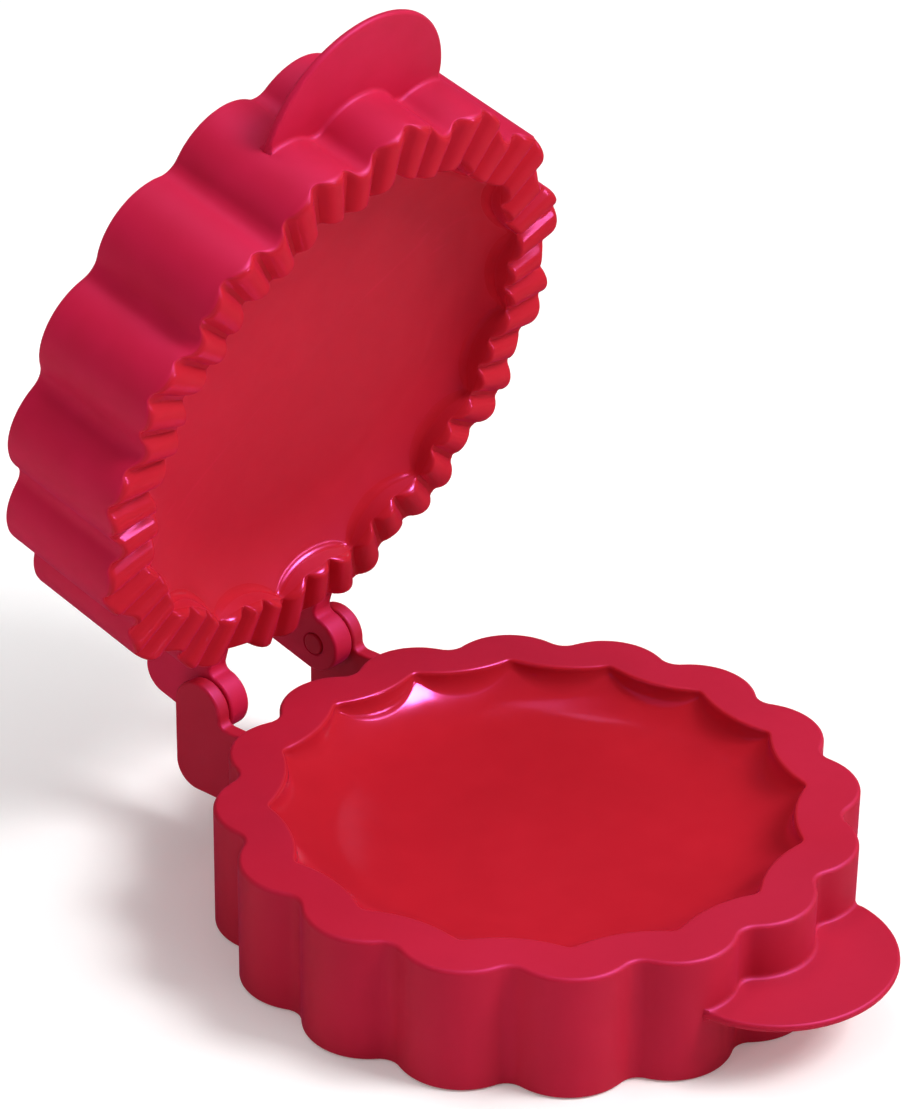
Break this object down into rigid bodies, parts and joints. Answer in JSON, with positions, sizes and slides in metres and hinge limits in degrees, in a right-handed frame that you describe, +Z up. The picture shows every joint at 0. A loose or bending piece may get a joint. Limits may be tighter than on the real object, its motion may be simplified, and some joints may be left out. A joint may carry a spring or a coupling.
{
  "type": "patty press",
  "caption": "Hinged round patty and hand-pie press: two fluted dished shells close on each other and a toothed rim crimps the edge.",
  "frame": {"origin": "centre of the fluted base's underside, on the table", "axes": "+Z up; finger tabs towards -Y; hinge axis along X behind the base at +Y; the lid is modelled standing open as it is at rest"},
  "size_m": [0.1144, 0.1584, 0.1594],
  "materials": {
    "red_moulding": "satin to gloss injection-moulded crimson plastic",
    "red_pin": "satin to gloss injection-moulded crimson plastic"
  },
  "bodies": {
    "base": {"base_mould": "red_moulding", "hinge_pin_left": "red_pin", "hinge_pin_right": "red_pin"},
    "lid": {"lid_mould": "red_moulding"}
  },
  "joints": [
    {"name": "lid_hinge", "type": "hinge", "parent": "base", "child": "lid", "pos_m": [0, 0.06335, 0.02535], "axis": [-1, 0, 0], "range_deg": [-74, 106]}
  ]
}
